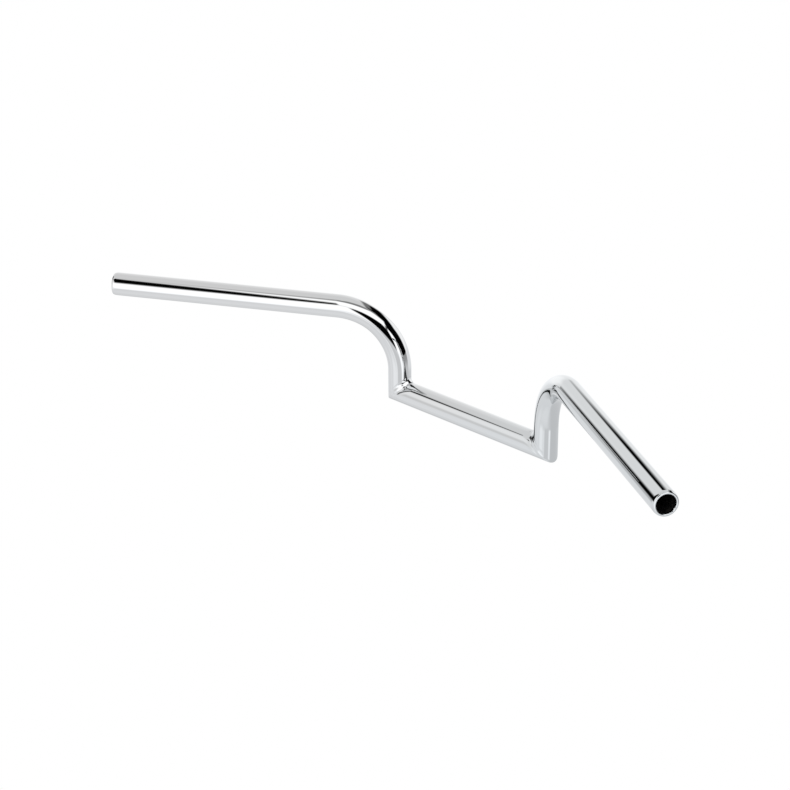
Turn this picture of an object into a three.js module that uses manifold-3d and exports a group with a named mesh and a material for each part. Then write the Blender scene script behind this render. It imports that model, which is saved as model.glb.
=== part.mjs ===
// A chrome-plated motorcycle Z-bar: a straight clamping tube with two upright arms mitred and
// welded to its ends. Each arm is one tube, bent once, that ends in a straight hand grip.
// Millimetres. The origin is the middle of the clamping tube. +X points to the rider's right,
// +Y forwards and +Z up, along the two risers.
import * as THREE from 'three';
import { mergeVertices } from 'three/addons/utils/BufferGeometryUtils.js';
import Module from 'manifold-3d';

// Tube stock
const TUBE_RADIUS = 12.7;
const WALL = 3.05;
const BORE_RADIUS = TUBE_RADIUS - WALL;

// Centrelines of the bar
const CENTRE_HALF_LENGTH = 101.5; // from the middle to the corner where two centrelines meet
const RISER_HEIGHT = 93; // from that corner to the corner where riser and grip lines meet
const GRIP_LENGTH = 316; // from the upper corner to the open end of the tube
const BEND_RADIUS = 70; // on the centreline
const PULL_BACK = THREE.MathUtils.degToRad(32.5); // grips swept back towards the rider
const UPSWEEP = THREE.MathUtils.degToRad(2.2); // grips climbing towards their ends

// Weld groove and bead
const ROOT_GAP = 0.3; // between the two mitred root faces
const FIT_GAP = 0.3; // between the bead and the walls of its groove
const GROOVE_DEPTH = 2.2;
const ROOT_HALF_WIDTH = 0.4;
const BEVEL_SLOPE = 0.6; // half-width gained for each millimetre out from the root
const BEAD_RISE = 3; // how far the blank of the bead stands out before it is dressed flush
const INSIDE_FILL = 1.08; // how far the bead fills the inside corner, in mitre half-lengths

// Open ends
const END_ROUNDING = 1;
const MOUTH_CHAMFER = 0.4;

// Facets
const SIDES = 40;
const BORE_SIDES = 32;
const BEND_STEPS = 20;
const ROUNDING_STEPS = 4;

const FAR = 40; // overlap of cutting tools, well outside the tube
const MITRE_STRETCH = Math.SQRT2; // a tube cut at 45 degrees is this much longer across

const wasm = await Module();
wasm.setup();

// ---------------------------------------------------------------- solids and booleans

function toSolid(geometry) {
  const bare = geometry.clone();
  bare.deleteAttribute('normal');
  bare.deleteAttribute('uv');
  const merged = mergeVertices(bare, 1e-4);
  const mesh = new wasm.Mesh({
    numProp: 3,
    vertProperties: new Float32Array(merged.attributes.position.array),
    triVerts: new Uint32Array(merged.index.array),
  });
  return new wasm.Manifold(mesh);
}

function toGeometry(solid) {
  const mesh = solid.getMesh();
  const geometry = new THREE.BufferGeometry();
  geometry.setAttribute('position', new THREE.BufferAttribute(mesh.vertProperties, 3));
  geometry.setIndex(new THREE.BufferAttribute(mesh.triVerts, 1));
  const flat = geometry.toNonIndexed();
  flat.computeVertexNormals();
  return flat;
}

function mirroredInX(geometry) {
  const copy = geometry.clone().scale(-1, 1, 1);
  const position = copy.attributes.position;
  const first = new THREE.Vector3();
  const last = new THREE.Vector3();
  for (let i = 0; i < position.count; i += 3) {
    first.fromBufferAttribute(position, i);
    last.fromBufferAttribute(position, i + 2);
    position.setXYZ(i, last.x, last.y, last.z);
    position.setXYZ(i + 2, first.x, first.y, first.z);
  }
  copy.computeVertexNormals();
  return copy;
}

// ---------------------------------------------------------------- centrelines

const corner = new THREE.Vector3(CENTRE_HALF_LENGTH, 0, 0);
const along = new THREE.Vector3(1, 0, 0);
const up = new THREE.Vector3(0, 0, 1);
const gripDirection = new THREE.Vector3(
  Math.cos(UPSWEEP) * Math.cos(PULL_BACK),
  -Math.cos(UPSWEEP) * Math.sin(PULL_BACK),
  Math.sin(UPSWEEP),
);
const upperCorner = corner.clone().addScaledVector(up, RISER_HEIGHT);
const gripEnd = upperCorner.clone().addScaledVector(gripDirection, GRIP_LENGTH);

// The right arm from below the mitre, up the riser, round the bend and out to the open end.
// Equal steps of t cover one straight riser, BEND_STEPS pieces of the bend and one straight grip.
class ArmLine extends THREE.Curve {
  constructor(startBelow, runPastEnd) {
    super();
    this.bendAngle = up.angleTo(gripDirection);
    const tangentLength = BEND_RADIUS * Math.tan(this.bendAngle / 2);
    this.start = corner.clone().addScaledVector(up, -startBelow);
    this.bendStart = upperCorner.clone().addScaledVector(up, -tangentLength);
    this.bendEnd = upperCorner.clone().addScaledVector(gripDirection, tangentLength);
    this.end = gripEnd.clone().addScaledVector(gripDirection, runPastEnd);
    this.inward = gripDirection.clone().addScaledVector(up, -gripDirection.dot(up)).normalize();
    this.bendCentre = this.bendStart.clone().addScaledVector(this.inward, BEND_RADIUS);
    this.steps = BEND_STEPS + 2;
  }

  bendFraction(t) {
    return THREE.MathUtils.clamp((t * this.steps - 1) / BEND_STEPS, 0, 1);
  }

  getPoint(t) {
    const step = t * this.steps;
    if (step <= 1) {
      return this.start.clone().lerp(this.bendStart, step);
    }
    if (step >= this.steps - 1) {
      return this.bendEnd.clone().lerp(this.end, step - this.steps + 1);
    }
    const angle = this.bendAngle * this.bendFraction(t);
    return this.bendCentre.clone()
      .addScaledVector(this.inward, -BEND_RADIUS * Math.cos(angle))
      .addScaledVector(up, BEND_RADIUS * Math.sin(angle));
  }

  getTangent(t) {
    const angle = this.bendAngle * this.bendFraction(t);
    return up.clone().multiplyScalar(Math.cos(angle))
      .addScaledVector(this.inward, Math.sin(angle));
  }

  getPointAt(t) {
    return this.getPoint(t);
  }

  getTangentAt(t) {
    return this.getTangent(t);
  }
}

// ---------------------------------------------------------------- blanks and cutting tools

function disc(radius, sides) {
  const outline = [];
  for (let i = 0; i < sides; i += 1) {
    const angle = (i / sides) * 2 * Math.PI;
    outline.push(new THREE.Vector2(radius * Math.cos(angle), radius * Math.sin(angle)));
  }
  return new THREE.Shape(outline);
}

function rod(line, steps, radius, sides) {
  const options = { extrudePath: line, steps, bevelEnabled: false };
  return toSolid(new THREE.ExtrudeGeometry(disc(radius, sides), options));
}

function armRod(radius, sides, startBelow, runPastEnd) {
  const line = new ArmLine(startBelow, runPastEnd);
  return rod(line, line.steps, radius, sides);
}

function centreRod(radius, sides, extra) {
  const reach = CENTRE_HALF_LENGTH + extra;
  const line = new THREE.LineCurve3(
    along.clone().multiplyScalar(-reach),
    along.clone().multiplyScalar(reach),
  );
  return rod(line, 1, radius, sides);
}

// Places a shape turned about Y in the mitre plane of the right-hand corner: Y becomes the
// plane's normal, and X, stretched like the mitre itself, points to the inside of the corner.
function mitrePlacing() {
  const inside = new THREE.Vector3(-1, 0, 1).normalize().multiplyScalar(MITRE_STRETCH);
  const normal = new THREE.Vector3(1, 0, 1).normalize();
  return new THREE.Matrix4().makeBasis(inside, normal, new THREE.Vector3(0, 1, 0)).setPosition(corner);
}

function turned(profile, sides, placing) {
  const points = profile.map(([radius, height]) => new THREE.Vector2(radius, height));
  return toSolid(new THREE.LatheGeometry(points, sides).applyMatrix4(placing));
}

// Everything beyond a plane parallel to the right-hand mitre, on the side of the riser.
function beyondMitre(offset) {
  const size = 2000;
  const block = new THREE.BoxGeometry(size, size, size).translate(0, size / 2 + offset, 0);
  const turn = new THREE.Matrix4().makeRotationZ(-Math.PI / 4);
  const stand = new THREE.Matrix4().makeRotationX(Math.PI / 2);
  return toSolid(block.applyMatrix4(turn).applyMatrix4(stand).translate(...corner.toArray()));
}

// A V-shaped ring round the mitre: the weld bead's blank, or with a clearance, its groove.
function mitreRing(clearance) {
  const rootRadius = TUBE_RADIUS - GROOVE_DEPTH - clearance;
  const topRadius = TUBE_RADIUS + BEAD_RISE + clearance;
  const rootWidth = ROOT_HALF_WIDTH + clearance;
  const topWidth = rootWidth + BEVEL_SLOPE * (topRadius - rootRadius);
  const profile = [
    [rootRadius, -rootWidth],
    [topRadius, -topWidth],
    [topRadius, topWidth],
    [rootRadius, rootWidth],
    [rootRadius, -rootWidth],
  ];
  return turned(profile, SIDES, mitrePlacing());
}

// Tool that rounds the outer edge of the open end and breaks the edge of its mouth.
function endTools() {
  const turn = new THREE.Quaternion().setFromUnitVectors(new THREE.Vector3(0, 1, 0), gripDirection);
  const placing = new THREE.Matrix4().compose(gripEnd, turn, new THREE.Vector3(1, 1, 1));
  const outer = TUBE_RADIUS + END_ROUNDING;
  const rim = [[outer, -END_ROUNDING], [outer, END_ROUNDING]];
  rim.push([TUBE_RADIUS - END_ROUNDING, END_ROUNDING]);
  for (let i = 0; i <= ROUNDING_STEPS; i += 1) {
    const angle = (i / ROUNDING_STEPS) * (Math.PI / 2);
    rim.push([
      TUBE_RADIUS - END_ROUNDING + END_ROUNDING * Math.sin(angle),
      -END_ROUNDING + END_ROUNDING * Math.cos(angle),
    ]);
  }
  rim.push(rim[0]);
  const mouth = [
    [0, -MOUTH_CHAMFER],
    [BORE_RADIUS, -MOUTH_CHAMFER],
    [BORE_RADIUS + 2 * MOUTH_CHAMFER, MOUTH_CHAMFER],
    [0, MOUTH_CHAMFER],
  ];
  return turned(rim, SIDES, placing).add(turned(mouth, BORE_SIDES, placing));
}

// ---------------------------------------------------------------- parts

function rightArm() {
  const tube = armRod(TUBE_RADIUS, SIDES, FAR, 0)
    .subtract(armRod(BORE_RADIUS, BORE_SIDES, FAR, FAR));
  const mitred = tube.intersect(beyondMitre(ROOT_GAP / 2));
  return toGeometry(mitred.subtract(mitreRing(FIT_GAP)).subtract(endTools()));
}

function centreTube() {
  const tube = centreRod(TUBE_RADIUS, SIDES, FAR)
    .subtract(centreRod(BORE_RADIUS, BORE_SIDES, FAR + 1));
  const rightTools = beyondMitre(-ROOT_GAP / 2).add(mitreRing(FIT_GAP));
  const leftTools = toSolid(mirroredInX(toGeometry(rightTools)));
  return toGeometry(tube.subtract(rightTools).subtract(leftTools));
}

// The bead fills the groove flush with both tubes, and webs across the inside of the corner.
function rightBead() {
  const overlap = 0.01;
  const centre = centreRod(TUBE_RADIUS, SIDES, FAR).subtract(beyondMitre(overlap));
  const riser = armRod(TUBE_RADIUS, SIDES, FAR, 0).intersect(beyondMitre(-overlap));
  const web = new THREE.CylinderGeometry(TUBE_RADIUS, TUBE_RADIUS, 2 * BEAD_RISE, SIDES)
    .scale(INSIDE_FILL, 1, 1)
    .applyMatrix4(mitrePlacing());
  const insideOnly = new THREE.BoxGeometry(FAR, FAR, FAR).translate(FAR / 2, 0, 0)
    .applyMatrix4(mitrePlacing());
  const insideWeb = toSolid(web).intersect(toSolid(insideOnly));
  return toGeometry(mitreRing(0).intersect(centre.add(riser).add(insideWeb)));
}

// ---------------------------------------------------------------- assembly

const platedTube = { color: 0xd9dde0, roughness: 0.05, metalness: 1 };
const platedWeld = { color: 0xcfd4d8, roughness: 0.1, metalness: 1 };

function node(name, geometry, look) {
  const mesh = new THREE.Mesh(geometry, new THREE.MeshStandardMaterial(look));
  mesh.name = name;
  return mesh;
}

const handlebar = new THREE.Group();
const arm = rightArm();
const bead = rightBead();
handlebar.add(
  node('centre_clamp_tube', centreTube(), platedTube),
  node('right_arm_tube', arm, platedTube),
  node('left_arm_tube', mirroredInX(arm), platedTube),
  node('right_weld_bead', bead, platedWeld),
  node('left_weld_bead', mirroredInX(bead), platedWeld),
);

export default handlebar;
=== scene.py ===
"""A chrome-plated motorcycle Z-bar in a plain white studio.

Metres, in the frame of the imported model: the origin is the middle of the clamping tube, +X points
to the rider's right, +Y forwards and +Z up. Every surface of the right half is worked out by a
formula, and the left half is its mirror image.
"""
import math

import bpy
import numpy as np
from mathutils import Matrix, Vector


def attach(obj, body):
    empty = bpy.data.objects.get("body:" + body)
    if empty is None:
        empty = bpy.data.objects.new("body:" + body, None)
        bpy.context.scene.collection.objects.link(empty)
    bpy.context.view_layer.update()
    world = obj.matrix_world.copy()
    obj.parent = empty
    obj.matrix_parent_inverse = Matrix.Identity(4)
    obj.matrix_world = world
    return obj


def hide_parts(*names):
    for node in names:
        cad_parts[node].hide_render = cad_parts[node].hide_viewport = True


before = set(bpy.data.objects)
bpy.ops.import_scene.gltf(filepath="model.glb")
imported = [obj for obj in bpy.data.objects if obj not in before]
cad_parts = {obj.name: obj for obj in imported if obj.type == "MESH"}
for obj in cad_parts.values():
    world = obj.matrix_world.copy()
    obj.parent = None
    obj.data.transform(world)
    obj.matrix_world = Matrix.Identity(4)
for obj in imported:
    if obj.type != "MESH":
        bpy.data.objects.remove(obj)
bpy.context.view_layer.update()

# ------------------------------------------------------------------ driving dimensions

TUBE_RADIUS = 0.0127
WALL = 0.00305
BORE_RADIUS = TUBE_RADIUS - WALL
CENTRE_HALF_LENGTH = 0.1015
RISER_HEIGHT = 0.093
GRIP_LENGTH = 0.316
BEND_RADIUS = 0.070
PULL_BACK = math.radians(32.5)
UPSWEEP = math.radians(2.2)

# Bend: how deep its wall is pulled in on the stretched and on the squeezed side, and the middle and
# spread of that along the bend, as shares of its length
FLATTENING_OUTER = 0.0009
FLATTENING_INNER = 0.0006
FLATTENING_PLACE = 0.62
FLATTENING_SPREAD = 0.2

# Weld: half-width of the dressed blend along the tube, and how proud the bead stands in its middle,
# both at the outside and at the inside of the corner
BLEND_OUTSIDE = 0.0035
BLEND_INSIDE = 0.0060
BEAD_OUTSIDE = 0.0002
BEAD_INSIDE = 0.0006
# How far two inner points of the blend's curve lie from the corner, as shares of the half-width
BLEND_WEIGHTS = (0.62, 0.25)
# The strip of plain tube that the weld keeps past its blend, the groove it fills, and the gap
# between the pieces at the groove's root
LAND = 0.0004
GROOVE_DEPTH = 0.0022
GROOVE_RADIUS = TUBE_RADIUS - GROOVE_DEPTH
ROOT_GAP = 0.0001

# Open end of the grip tube
END_ROUNDING_LENGTH = 0.0045
END_ROUNDING_DEPTH = 0.0013
MOUTH_CHAMFER = 0.0008

# A seam's flash inside the tube
SEAM_ANGLE = math.radians(24.0)
SEAM_HALF_WIDTH = math.radians(7.0)
SEAM_HEIGHT = 0.0008

# How far the plating reaches into the bore
PLATED_DEPTH = 0.0024

# Steps of the meshes
AROUND = 144
RISER_STEPS = 8
BEND_STEPS = 120
GRIP_STEPS = 24
EDGE_STEPS = 13
BORE_STEPS = 20
BORE_BEND_STEPS = 40
WELD_STEPS = 41
CENTRE_STEPS = 20
SHARP_ANGLE = math.radians(40.0)

# Chrome: its two tints, between which places from left to right it turns cooler, and how uneven
# that is. Texture scales are in features to the metre.
CHROME_NEUTRAL = (0.683, 0.686, 0.690)
CHROME_COOL = (0.668, 0.688, 0.700)
COOL_FROM = -0.25
COOL_TO = 0.25
MOTTLE = 0.12
MOTTLE_SCALE = 30.0
HAZE_ROUGHNESS = (0.008, 0.025)
HAZE_SCALE = 60.0
GRAIN_ROUGHNESS = 0.02
GRAIN_SCALE = 3000.0
PEEL_HEIGHT = 0.0000009
WELD_RIPPLE = 0.000008
PEEL_SCALE = 260.0
PIT_HEIGHT = 0.00000004
PIT_SCALE = 2200.0

# Bare bore: flaky steel between patches of thin rust. Both colours are painted near-black, a
# painted shade that stands for the dark depth of the tube.
BORE_METALLIC = 0.4
BORE_SHADED_STEEL = (0.010, 0.010, 0.011)
BORE_SHADED_RUST = (0.018, 0.015, 0.013)
BORE_ROUGHNESS = (0.38, 0.7)
RUST_SCALE = 180.0
FLAKE_HEIGHT = 0.00004
FLAKE_SCALE = 900.0

# Studio and camera
FLOOR_HEIGHT = -0.6
FLOOR_HALF_WIDTH = 30.0
CAMERA_TARGET = Vector((0.0, -0.118, 0.071))
CAMERA_DISTANCE = 2.017
CAMERA_AZIMUTH = math.radians(42.67)
CAMERA_ELEVATION = math.radians(26.39)
CAMERA_ROLL = math.radians(-0.446)
CAMERA_LENS = 91.36
SENSOR_WIDTH = 36.0

X_AXIS = np.array([1.0, 0.0, 0.0])
Y_AXIS = np.array([0.0, 1.0, 0.0])
UP = np.array([0.0, 0.0, 1.0])
ANGLES = np.linspace(0.0, 2.0 * math.pi, AROUND, endpoint=False)


# ------------------------------------------------------------------ the right arm's centreline

GRIP_DIRECTION = np.array([
    math.cos(UPSWEEP) * math.cos(PULL_BACK),
    -math.cos(UPSWEEP) * math.sin(PULL_BACK),
    math.sin(UPSWEEP),
])
BEND_ANGLE = math.acos(float(GRIP_DIRECTION @ UP))
TANGENT_LENGTH = BEND_RADIUS * math.tan(BEND_ANGLE / 2.0)
BEND_START = RISER_HEIGHT - TANGENT_LENGTH
BEND_LENGTH = BEND_RADIUS * BEND_ANGLE
BEND_END = BEND_START + BEND_LENGTH
ARM_LENGTH = BEND_END + GRIP_LENGTH - TANGENT_LENGTH
CORNER = np.array([CENTRE_HALF_LENGTH, 0.0, 0.0])
BEND_INWARD = GRIP_DIRECTION - UP * float(GRIP_DIRECTION @ UP)
BEND_INWARD /= np.linalg.norm(BEND_INWARD)
BEND_AXIS = np.cross(UP, BEND_INWARD)
# Direction round the tube that faces away from the bend's centre
BEND_OUTWARD_ANGLE = math.atan2(-BEND_INWARD[1], -BEND_INWARD[0])


def turned(vector, angle):
    """vector turned about the bend's axis by each angle."""
    angle = np.asarray(angle)[..., None]
    along = BEND_AXIS * float(vector @ BEND_AXIS)
    flat = vector - along
    return along + flat * np.cos(angle) + np.cross(BEND_AXIS, flat) * np.sin(angle)


def arm_frame(length):
    """Centreline point and the two section directions at each length from the lower corner."""
    length = np.asarray(length, dtype=float)
    straight = np.minimum(length, BEND_START)[..., None]
    angle = np.clip((length - BEND_START) / BEND_RADIUS, 0.0, BEND_ANGLE)
    beyond = np.maximum(length - BEND_END, 0.0)[..., None]
    bend_centre = CORNER + UP * BEND_START + BEND_INWARD * BEND_RADIUS
    on_bend = bend_centre + turned(-BEND_INWARD * BEND_RADIUS, angle)
    point = on_bend + UP * (straight - BEND_START) + GRIP_DIRECTION * beyond
    return point, turned(X_AXIS, angle), turned(Y_AXIS, angle)


# ------------------------------------------------------------------ surfaces of the right half

def arm_skin(length, angle, radius):
    """Point on the arm at a length from the corner, an angle round the tube and a radius."""
    point, side, front = arm_frame(length)
    cosine = (radius * np.cos(angle))[..., None]
    sine = (radius * np.sin(angle))[..., None]
    return point + side * cosine + front * sine


def bend_flattening(length, angle):
    """How far the wall of the bend is pulled in, mostly on its stretched outer side."""
    place = (length - BEND_START) / BEND_LENGTH
    swell = np.exp(-((place - FLATTENING_PLACE) / FLATTENING_SPREAD) ** 2)
    turn = angle - BEND_OUTWARD_ANGLE
    outer = np.maximum(np.cos(turn), 0.0) ** 2
    inner = np.maximum(-np.cos(turn), 0.0) ** 2
    return swell * (FLATTENING_OUTER * outer + FLATTENING_INNER * inner)


def arm_outside(length, angle):
    """Point on the outside of the arm, flattened in the bend."""
    return arm_skin(length, angle, TUBE_RADIUS - bend_flattening(length, angle))


def bore_radius(angle):
    """The bore's radius at each angle, with the flash of the tube's own seam standing into it."""
    off = np.abs((angle - SEAM_ANGLE + math.pi) % (2 * math.pi) - math.pi) / SEAM_HALF_WIDTH
    return BORE_RADIUS - SEAM_HEIGHT * np.exp(-off ** 2)


def round_corner(outside, inside, angle):
    """A size that goes from one value out of the corner, at angle 0, to another inside it."""
    return outside + (inside - outside) * ((1.0 - np.cos(angle)) / 2.0)


def blend_width(angle):
    """Half-width of the weld's blend at an angle round the tube."""
    return round_corner(BLEND_OUTSIDE, BLEND_INSIDE, angle)


def blend_fall(t):
    """Weight of a leg of the corner curve, from 1 at its far end to 0, smooth in curvature."""
    second, third = BLEND_WEIGHTS
    return (1 - t) ** 5 + 5 * t * (1 - t) ** 4 * second + 10 * t ** 2 * (1 - t) ** 3 * third


def weld_outside(t, angle):
    """Dressed weld with its low bead: t runs from 0 on the clamping tube to 1 on the riser."""
    width = blend_width(angle)
    across = TUBE_RADIUS * np.cos(angle)
    x = CENTRE_HALF_LENGTH + across - width * blend_fall(t)
    y = TUBE_RADIUS * np.sin(angle)
    z = -across + width * blend_fall(1.0 - t)
    proud = round_corner(BEAD_OUTSIDE, BEAD_INSIDE, angle) * math.sin(math.pi * t) ** 4
    out = np.stack([np.cos(angle), 2.0 * np.sin(angle), -np.cos(angle)], axis=-1)
    out /= np.linalg.norm(out, axis=-1, keepdims=True)
    return np.stack([x, y, z], axis=-1) + out * proud[..., None]


def centre_skin(x, angle, radius):
    """Point on the clamping tube; angle 0 faces down."""
    coordinates = np.broadcast_arrays(x, radius * np.sin(angle), -radius * np.cos(angle))
    return np.stack(coordinates, axis=-1)


# ------------------------------------------------------------------ rings to meshes

def between(start, end, steps):
    """Values from start up to but not including end, which may be arrays of one value per angle."""
    shares = np.linspace(0.0, 1.0, steps, endpoint=False)[:, None]
    return list(start * (1 - shares) + end * shares)


def add_object(name, data):
    """A new object of the scene."""
    made = bpy.data.objects.new(name, data)
    bpy.context.scene.collection.objects.link(made)
    return made


def ring_piece(name, rings, materials, bore=None, mirror=False):
    """A closed tube wall from rings of points that run out along it and back through its bore.

    bore is the span of rings whose faces take the second material.
    """
    points = np.array(rings)
    count = len(points)
    if mirror:
        points = points * np.array([-1.0, 1.0, 1.0])
    faces = []
    for ring in range(count):
        here = ring * AROUND
        after = (ring + 1) % count * AROUND
        for i in range(AROUND):
            j = (i + 1) % AROUND
            corners = (here + i, here + j, after + j, after + i)
            faces.append(corners[::-1] if mirror else corners)
    mesh = bpy.data.meshes.new(name)
    mesh.from_pydata(points.reshape(-1, 3).tolist(), [], faces)
    for material in materials:
        mesh.materials.append(material)
    if bore:
        in_bore = np.zeros(len(faces), dtype=np.int32)
        in_bore[bore[0] * AROUND:bore[1] * AROUND] = 1
        mesh.polygons.foreach_set("material_index", in_bore)
    mesh.shade_smooth()
    mesh.set_sharp_from_angle(angle=SHARP_ANGLE)
    mesh.update()
    return add_object(name, mesh)


# ------------------------------------------------------------------ pieces

def arm_rings():
    """Rings of the right arm, and the span of them that lies in its bare bore."""
    weld_end = -TUBE_RADIUS * np.cos(ANGLES) + blend_width(ANGLES) + LAND
    outside = between(weld_end, BEND_START, RISER_STEPS)
    outside += between(BEND_START, BEND_END, BEND_STEPS)
    outside += between(BEND_END, ARM_LENGTH - END_ROUNDING_LENGTH, GRIP_STEPS)
    rings = [arm_outside(length, ANGLES) for length in outside]

    for tilt in np.linspace(0.0, math.pi / 2.0, EDGE_STEPS):
        length = ARM_LENGTH - END_ROUNDING_LENGTH * (1.0 - math.sin(tilt))
        radius = TUBE_RADIUS - END_ROUNDING_DEPTH * (1.0 - math.cos(tilt))
        rings.append(arm_skin(length, ANGLES, radius))
    bore = bore_radius(ANGLES)
    for tilt in np.linspace(math.pi / 2.0, math.pi, EDGE_STEPS):
        length = ARM_LENGTH - MOUTH_CHAMFER + MOUTH_CHAMFER * math.sin(tilt)
        radius = bore + MOUTH_CHAMFER + MOUTH_CHAMFER * math.cos(tilt)
        rings.append(arm_skin(length, ANGLES, radius))

    bare_from = len(rings)
    root = -BORE_RADIUS * np.cos(ANGLES) + ROOT_GAP
    inside = between(ARM_LENGTH - PLATED_DEPTH, BEND_END, BORE_STEPS)
    inside += between(BEND_END, BEND_START, BORE_BEND_STEPS)
    inside += between(BEND_START, root, RISER_STEPS) + [root]
    rings += [arm_skin(length, ANGLES, bore) for length in inside]
    bare_to = len(rings)

    groove_end = -GROOVE_RADIUS * np.cos(ANGLES) + ROOT_GAP
    rings.append(arm_skin(groove_end, ANGLES, GROOVE_RADIUS))
    return rings, (bare_from, bare_to)


def weld_rings():
    """Rings of the right weld: over its dressed face from the clamping tube, and its root."""
    width = blend_width(ANGLES)
    on_centre = CENTRE_HALF_LENGTH + TUBE_RADIUS * np.cos(ANGLES) - width - LAND
    on_riser = -TUBE_RADIUS * np.cos(ANGLES) + width + LAND
    rings = [centre_skin(on_centre, ANGLES, TUBE_RADIUS)]
    rings += [weld_outside(t, ANGLES) for t in np.linspace(0.0, 1.0, WELD_STEPS)]
    rings.append(arm_outside(on_riser, ANGLES))
    rings.append(arm_skin(-GROOVE_RADIUS * np.cos(ANGLES), ANGLES, GROOVE_RADIUS))
    return rings


def centre_rings():
    """Rings of the clamping tube, from its left end to its right one and back through the bore."""
    reach = CENTRE_HALF_LENGTH + TUBE_RADIUS * np.cos(ANGLES) - blend_width(ANGLES) - LAND
    groove_reach = CENTRE_HALF_LENGTH + GROOVE_RADIUS * np.cos(ANGLES) - ROOT_GAP
    bore_reach = CENTRE_HALF_LENGTH + BORE_RADIUS * np.cos(ANGLES) - ROOT_GAP
    rings = []
    for x in between(-reach, reach, CENTRE_STEPS) + [reach]:
        rings.append(centre_skin(x, ANGLES, TUBE_RADIUS))
    rings.append(centre_skin(groove_reach, ANGLES, GROOVE_RADIUS))
    bare_from = len(rings)
    for x in between(bore_reach, -bore_reach, BORE_STEPS) + [-bore_reach]:
        rings.append(centre_skin(x, ANGLES, BORE_RADIUS))
    bare_to = len(rings) - 1
    rings.append(centre_skin(-groove_reach, ANGLES, GROOVE_RADIUS))
    return rings, (bare_from, bare_to)


# ------------------------------------------------------------------ materials

def node(tree, kind, **settings):
    """A new node with its settings."""
    made = tree.nodes.new(kind)
    for name, value in settings.items():
        setattr(made, name, value)
    return made


def plug(tree, socket, value):
    """Links value to the socket if it is an output, and otherwise sets it there."""
    if isinstance(value, bpy.types.NodeSocket):
        tree.links.new(value, socket)
    else:
        socket.default_value = value


def maths(tree, operation, *values):
    """The result of a sum, whose values are numbers or other nodes' outputs."""
    made = node(tree, "ShaderNodeMath", operation=operation)
    for socket, value in zip(made.inputs, values):
        plug(tree, socket, value)
    return made.outputs[0]


def noise(tree, place, scale, detail=2.0):
    """Noise from 0 to 1, with scale in features to the metre."""
    made = node(tree, "ShaderNodeTexNoise")
    made.inputs["Scale"].default_value = scale
    made.inputs["Detail"].default_value = detail
    tree.links.new(place, made.inputs["Vector"])
    return made.outputs["Fac"]


def ramp(tree, value, from_low, from_high, to_low, to_high, smooth=False):
    """Maps one range of a value to another, and holds it at the ends."""
    made = node(tree, "ShaderNodeMapRange")
    made.interpolation_type = "SMOOTHSTEP" if smooth else "LINEAR"
    for socket, number in zip(made.inputs, (value, from_low, from_high, to_low, to_high)):
        plug(tree, socket, number)
    return made.outputs["Result"]


def bump(tree, height, distance, normal=None):
    """Bump of the given height, in metres between the noise's 0 and 1."""
    made = node(tree, "ShaderNodeBump")
    made.inputs["Strength"].default_value = 1.0
    made.inputs["Distance"].default_value = distance
    tree.links.new(height, made.inputs["Height"])
    if normal:
        tree.links.new(normal, made.inputs["Normal"])
    return made.outputs["Normal"]


def new_material(name):
    """A material with its node tree, its shader and the place in the object's own frame."""
    material = bpy.data.materials.new(name)
    material.use_nodes = True
    tree = material.node_tree
    place = node(tree, "ShaderNodeTexCoord").outputs["Object"]
    return material, tree, tree.nodes["Principled BSDF"], place


def chrome_material(name, ripple_height):
    """Bright chrome, a little cooler to the right, with orange peel, fine pits and hazy patches."""
    material, tree, shader, place = new_material(name)
    shader.inputs["Metallic"].default_value = 1.0
    tint = node(tree, "ShaderNodeMix", data_type="RGBA")
    parts = node(tree, "ShaderNodeSeparateXYZ")
    tree.links.new(place, parts.inputs[0])
    towards_right = ramp(tree, parts.outputs[0], COOL_FROM, COOL_TO, 0.0, 1.0, smooth=True)
    mottle = ramp(tree, noise(tree, place, MOTTLE_SCALE), 0.3, 0.7, -MOTTLE, MOTTLE)
    tree.links.new(maths(tree, "ADD", towards_right, mottle), tint.inputs["Factor"])
    tint.inputs["A"].default_value = (*CHROME_NEUTRAL, 1.0)
    tint.inputs["B"].default_value = (*CHROME_COOL, 1.0)
    tree.links.new(tint.outputs["Result"], shader.inputs["Base Color"])
    haze = ramp(tree, noise(tree, place, HAZE_SCALE, 4.0), 0.35, 0.75, *HAZE_ROUGHNESS)
    grain = ramp(tree, noise(tree, place, GRAIN_SCALE), 0.55, 0.8, 0.0, GRAIN_ROUGHNESS)
    tree.links.new(maths(tree, "ADD", haze, grain), shader.inputs["Roughness"])
    peel = bump(tree, noise(tree, place, PEEL_SCALE), ripple_height)
    pits = bump(tree, noise(tree, place, PIT_SCALE), PIT_HEIGHT, peel)
    tree.links.new(pits, shader.inputs["Normal"])
    return material


def bore_material():
    """Bare steel inside the tube, roughened by scale and thin rust. Its colours are painted
    near-black as painted shade of the tube's depth.
    """
    material, tree, shader, place = new_material("bare_bore")
    shader.inputs["Metallic"].default_value = BORE_METALLIC
    shaded_steel_and_rust = node(tree, "ShaderNodeMix", data_type="RGBA")
    patches = ramp(tree, noise(tree, place, RUST_SCALE, 6.0), 0.4, 0.65, 0.0, 1.0, smooth=True)
    tree.links.new(patches, shaded_steel_and_rust.inputs["Factor"])
    # Both colours are painted shade: near-black so that the inside of the tube looks as dark as its
    # unlit depth
    shaded_steel_and_rust.inputs["A"].default_value = (*BORE_SHADED_STEEL, 1.0)
    shaded_steel_and_rust.inputs["B"].default_value = (*BORE_SHADED_RUST, 1.0)
    tree.links.new(shaded_steel_and_rust.outputs["Result"], shader.inputs["Base Color"])
    tree.links.new(ramp(tree, patches, 0.0, 1.0, *BORE_ROUGHNESS), shader.inputs["Roughness"])
    flakes = bump(tree, noise(tree, place, FLAKE_SCALE, 4.0), FLAKE_HEIGHT)
    tree.links.new(flakes, shader.inputs["Normal"])
    return material


# ------------------------------------------------------------------ studio

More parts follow.
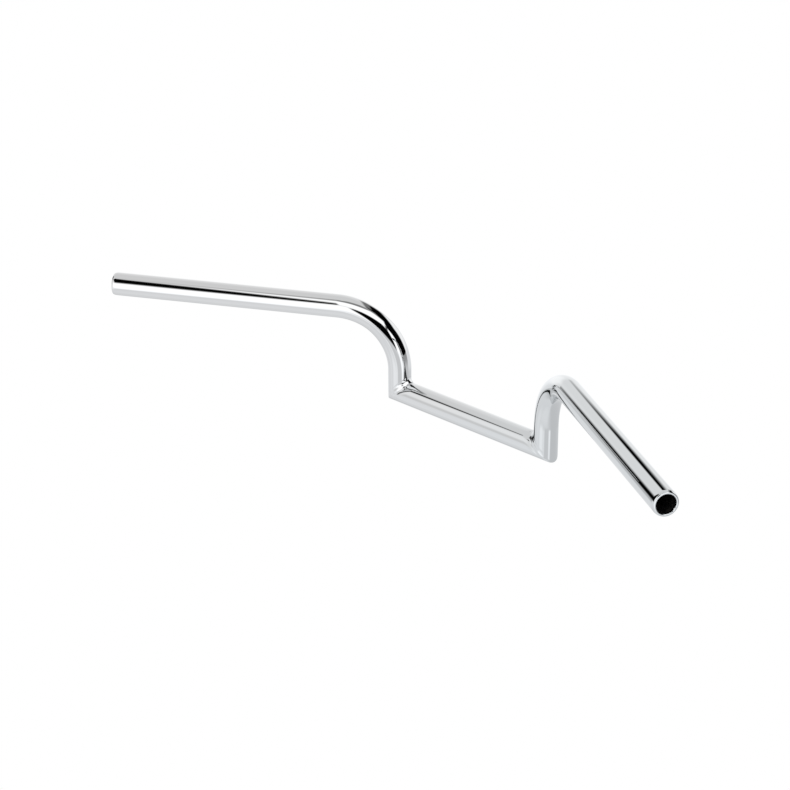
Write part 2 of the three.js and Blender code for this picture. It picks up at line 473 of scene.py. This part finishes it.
def card(name, azimuth, elevation, size, edge, light, turn=0.0, bow=0.0, disc=False):
    """A lit panel or a black flag far off, seen in reflections.

    Azimuth runs from +Y towards +X, and all the angles are in degrees. size holds the half-width
    and half-height, edge how far each kind of edge fades, and bow how far the card's ends bend
    up, in degrees per square degree. A disc is an ellipse, with the second edge all round.
    """
    return dict(name=name, azimuth=azimuth, elevation=elevation, size=size, edge=edge,
                light=light, turn=turn, bow=bow, disc=disc)


# The studio's walls, wherever no card hides them
WALL_LIGHT = 0.97

# From the farthest to the nearest: each card hides what lies behind it
CARDS = [
    card("ceiling", 0, 90, (400, 45), (90, 10), 0.87),
    card("haze over the arch", 33, 0, (62, 59), (3, 3), 0.23, disc=True),
    card("gap over the key panel", 120, 72, (75, 4), (25, 3), 0.28, turn=7.5, bow=-0.0008),
    card("shade round the gap", 108, 71, (58, 11), (14, 4), 0.30, turn=4, bow=-0.003),
    card("arched flag", 33, 0, (54, 50), (1.5, 1.5), 0.001, disc=True),
    card("upper key panel", 122, 47.9, (59, 16.5), (9, 3), 1.50, turn=5.4, bow=-0.00085),
    card("flag behind the key panel", 178.3, 49.6, (27.5, 13.3), (3, 3), 0.001,
         turn=34, bow=-0.0156),
    card("key panel", 138, 1, (54, 27.5), (7, 8), 1.50),
    card("foot of the stand", 129, -6, (15, 7), (4, 5), 0.45),
    card("camera and its stand", 124, 9.9, (21.5, 20), (2.5, 2.5), 0.001, turn=-2, bow=-0.006),
    card("panel beside the camera", 103.2, 4, (6.7, 22), (1.5, 3), 1.50, turn=30.5),
    card("large flag", 62, 12, (27.3, 26.9), (2.5, 1.5), 0.001, turn=-12, bow=-0.010),
    card("rail from the flag to the camera", 97, 23.5, (10, 1.8), (3, 1.5), 0.10, turn=-35),
    card("panel under the arch", 12.5, -4, (27, 28), (5.5, 3), 1.22, turn=18, bow=-0.011),
    card("table", 60, -62, (400, 35), (90, 10), 0.92),
    card("shaded side of the table", 40, -56, (75, 34), (30, 8), 0.74),
    card("bright side of the table", 175, -58, (38, 18), (18, 12), 0.99),
    card("dim middle of the table", 292, -50, (20, 9), (12, 8), 0.74),
    card("bright end of the table", 226, -30, (14, 18), (8, 9), 1.01),
    card("table under the arch", 8, -15, (30, 9), (10, 5), 1.00),
    card("table in front of the large flag", 71.5, -18.5, (27, 12), (4, 0.7), 0.74, turn=-4),
    card("shadow at the large flag's foot", 67, -9, (24, 7), (5, 6), 0.40, turn=-4),
    card("foot of the large flag", 68.5, 2, (29.2, 8.7), (2.5, 0.8), 0.001, turn=-4),
    card("leg of the large flag", 91, -18, (8, 2.3), (2, 1.2), 0.001, turn=60),
    card("table in front of the camera", 136, -23, (20, 10), (5, 4), 0.80),
    card("right glow on the table", 109, -19, (8, 9), (5, 4), 1.42),
    card("left glow on the table", 190, -26, (14, 8), (7, 6), 1.15),
    card("far panel", 316, -4, (26, 22), (9, 9), 1.09),
    card("bright end of the far panel", 296, 3, (16, 14), (8, 8), 1.25),
    card("near wall panel", 219, 27, (12, 13), (6, 6), 1.09),
    card("dim corner", 214, 1, (9, 8), (5, 6), 0.82),
    card("foot of the tall flag", 268, -14, (4.5, 6), (3, 5), 0.62),
    card("tall flag", 249, 22.6, (16, 26.7), (3, 3), 0.003),
    card("lower right flag", 262, 3.2, (10.0, 10.5), (1.5, 6), 0.001, turn=-18),
]

# The table's colour, and between which elevations the studio takes it on
TABLE_TINT = (0.985, 0.995, 1.010)
TABLE_FADE = (-3.0, -14.0)

# A black flag that really stands near the bar, so that mostly the right grip reflects it: its
# place, what it faces, and between which offsets from its middle each edge fades; the top is sharp
NEAR_FLAG_PLACE = Vector((0.028, 0.242, 0.350))
NEAR_FLAG_TARGET = Vector((0.368, -0.170, 0.105))
NEAR_FLAG_LEFT = (-0.120, -0.060)
NEAR_FLAG_RIGHT = (0.150, 0.000)
NEAR_FLAG_BOTTOM = (-0.170, -0.030)
NEAR_FLAG_TOP = 0.140


def card_cover(tree, azimuth, elevation, one):
    """How much of the view in a direction the card covers, from 0 to 1."""
    across = maths(tree, "WRAP", maths(tree, "SUBTRACT", azimuth, one["azimuth"]), 180.0, -180.0)
    above = maths(tree, "SUBTRACT", elevation, one["elevation"])
    cosine = math.cos(math.radians(one["turn"]))
    sine = math.sin(math.radians(one["turn"]))
    along = maths(tree, "MULTIPLY_ADD", across, cosine, maths(tree, "MULTIPLY", above, sine))
    up = maths(tree, "MULTIPLY_ADD", across, -sine, maths(tree, "MULTIPLY", above, cosine))
    up = maths(tree, "MULTIPLY_ADD", maths(tree, "POWER", along, 2.0), -one["bow"], up)
    half_width, half_height = one["size"]
    if one["disc"]:
        wide = maths(tree, "POWER", maths(tree, "DIVIDE", along, half_width), 2.0)
        high = maths(tree, "POWER", maths(tree, "DIVIDE", up, half_height), 2.0)
        reach = maths(tree, "SQRT", maths(tree, "ADD", wide, high))
        fade = one["edge"][1] / half_height
        return ramp(tree, reach, 1.0 - fade, 1.0 + fade, 1.0, 0.0, smooth=True)
    cover = []
    for place, half, edge in zip((along, up), one["size"], one["edge"]):
        off = maths(tree, "ABSOLUTE", place)
        cover.append(ramp(tree, off, half - edge, half + edge, 1.0, 0.0, smooth=True))
    return maths(tree, "MULTIPLY", *cover)


def studio_world():
    """A white studio to the camera, and the same studio's panels and flags to everything else."""
    world = bpy.data.worlds.new("studio")
    bpy.context.scene.world = world
    world.use_nodes = True
    tree = world.node_tree
    direction = node(tree, "ShaderNodeTexCoord").outputs["Generated"]
    parts = node(tree, "ShaderNodeSeparateXYZ")
    tree.links.new(direction, parts.inputs[0])
    azimuth = maths(tree, "DEGREES", maths(tree, "ARCTAN2", parts.outputs[0], parts.outputs[1]))
    elevation = maths(tree, "DEGREES", maths(tree, "ARCSINE", parts.outputs[2]))
    light = WALL_LIGHT
    for one in CARDS:
        cover = card_cover(tree, azimuth, elevation, one)
        mixed = node(tree, "ShaderNodeMix", label=one["name"])
        for socket, value in (("Factor", cover), ("A", light), ("B", one["light"])):
            plug(tree, mixed.inputs[socket], value)
        light = mixed.outputs["Result"]
    to_camera = node(tree, "ShaderNodeLightPath").outputs["Is Camera Ray"]
    light = ramp(tree, to_camera, 0.0, 1.0, light, 1.0)
    low = ramp(tree, elevation, *TABLE_FADE, 0.0, 1.0, smooth=True)
    tint = node(tree, "ShaderNodeMix", data_type="RGBA")
    tree.links.new(ramp(tree, to_camera, 0.0, 1.0, low, 0.0), tint.inputs["Factor"])
    tint.inputs["A"].default_value = (1.0, 1.0, 1.0, 1.0)
    tint.inputs["B"].default_value = (*TABLE_TINT, 1.0)
    background = tree.nodes["Background"]
    tree.links.new(tint.outputs["Result"], background.inputs["Color"])
    tree.links.new(light, background.inputs["Strength"])


def flat_sheet(name, left, right, low, high, height, material):
    """A rectangle that is level at a height in its own frame."""
    mesh = bpy.data.meshes.new(name)
    corners = [(left, low, height), (right, low, height),
               (right, high, height), (left, high, height)]
    mesh.from_pydata(corners, [], [(0, 1, 2, 3)])
    mesh.materials.append(material)
    return add_object(name, mesh)


def black_cloth():
    """Lightless black that fades to nothing at the near flag's left, right and bottom edges."""
    material = bpy.data.materials.new("black_cloth")
    material.use_nodes = True
    tree = material.node_tree
    parts = node(tree, "ShaderNodeSeparateXYZ")
    tree.links.new(node(tree, "ShaderNodeTexCoord").outputs["Object"], parts.inputs[0])
    from_left = ramp(tree, parts.outputs[0], *NEAR_FLAG_LEFT, 0.0, 1.0, smooth=True)
    from_right = ramp(tree, parts.outputs[0], *NEAR_FLAG_RIGHT, 0.0, 1.0, smooth=True)
    from_bottom = ramp(tree, parts.outputs[1], *NEAR_FLAG_BOTTOM, 0.0, 1.0, smooth=True)
    cover = maths(tree, "MULTIPLY", maths(tree, "MULTIPLY", from_left, from_right), from_bottom)
    clear = node(tree, "ShaderNodeBsdfTransparent")
    black = node(tree, "ShaderNodeEmission")
    black.inputs["Strength"].default_value = 0.0
    mixed = node(tree, "ShaderNodeMixShader")
    for socket, output in zip(mixed.inputs, (cover, clear.outputs[0], black.outputs[0])):
        tree.links.new(output, socket)
    tree.links.new(mixed.outputs[0], tree.nodes["Material Output"].inputs["Surface"])
    return material


def near_flag():
    """A soft-edged black flag that stands near the bar and shows only in its reflections."""
    flag = flat_sheet("near_flag", NEAR_FLAG_LEFT[0], NEAR_FLAG_RIGHT[0], NEAR_FLAG_BOTTOM[0],
                      NEAR_FLAG_TOP, 0.0, black_cloth())
    facing = (NEAR_FLAG_TARGET - NEAR_FLAG_PLACE).normalized()
    sideways = Vector((0.0, 0.0, 1.0)).cross(facing).normalized()
    turn = Matrix((sideways, facing.cross(sideways), facing)).transposed()
    flag.matrix_world = Matrix.Translation(NEAR_FLAG_PLACE) @ turn.to_4x4()
    flag.visible_camera = False
    flag.visible_diffuse = False
    flag.visible_shadow = False


def white_floor():
    """The pale floor, well below the bar and lit evenly, as a white sweep is."""
    material = bpy.data.materials.new("white_sweep")
    material.use_nodes = True
    shader = material.node_tree.nodes["Principled BSDF"]
    shader.inputs["Base Color"].default_value = (0.0, 0.0, 0.0, 1.0)
    shader.inputs["Specular IOR Level"].default_value = 0.0
    shader.inputs["Emission Color"].default_value = (1.0, 1.0, 1.0, 1.0)
    shader.inputs["Emission Strength"].default_value = 1.0
    edge = FLOOR_HALF_WIDTH
    floor = flat_sheet("floor", -edge, edge, -edge, edge, FLOOR_HEIGHT, material)
    floor.visible_glossy = False
    floor.visible_diffuse = False


def camera():
    """Stands to the right of and above the rider's place, and looks at the middle of the bar."""
    data = bpy.data.cameras.new("camera")
    data.lens = CAMERA_LENS
    data.sensor_width = SENSOR_WIDTH
    data.clip_end = 100.0
    view = add_object("camera", data)
    swing = Matrix.Rotation(CAMERA_AZIMUTH, 4, "Z")
    tilt = Matrix.Rotation(math.pi / 2 - CAMERA_ELEVATION, 4, "X")
    turn = swing @ tilt @ Matrix.Rotation(CAMERA_ROLL, 4, "Z")
    place = CAMERA_TARGET + turn.to_3x3() @ Vector((0.0, 0.0, CAMERA_DISTANCE))
    view.matrix_world = Matrix.Translation(place) @ turn
    bpy.context.scene.camera = view


# ------------------------------------------------------------------ build

def build():
    """The studio, then the five pieces, each of which stands for one CAD node."""
    camera()
    studio_world()
    white_floor()
    near_flag()
    bpy.context.scene.view_settings.view_transform = "Standard"
    plate = chrome_material("chrome_plate", PEEL_HEIGHT)
    weld_plate = chrome_material("chrome_weld", WELD_RIPPLE)
    bare = bore_material()
    centre, centre_bore = centre_rings()
    arm, arm_bore = arm_rings()
    weld = weld_rings()
    tube = ring_piece("centre_tube", centre, (plate, bare), centre_bore)
    pieces = [(tube, "centre_clamp_tube", "chrome_plate")]
    for side in ("right", "left"):
        mirror = side == "left"
        tube = ring_piece(side + "_arm", arm, (plate, bare), arm_bore, mirror)
        pieces.append((tube, side + "_arm_tube", "chrome_plate"))
        bead = ring_piece(side + "_weld", weld, (weld_plate,), mirror=mirror)
        pieces.append((bead, side + "_weld_bead", "chrome_weld"))
    for piece, cad_node, slot in pieces:
        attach(piece, "root")
        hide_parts(cad_node)


build()
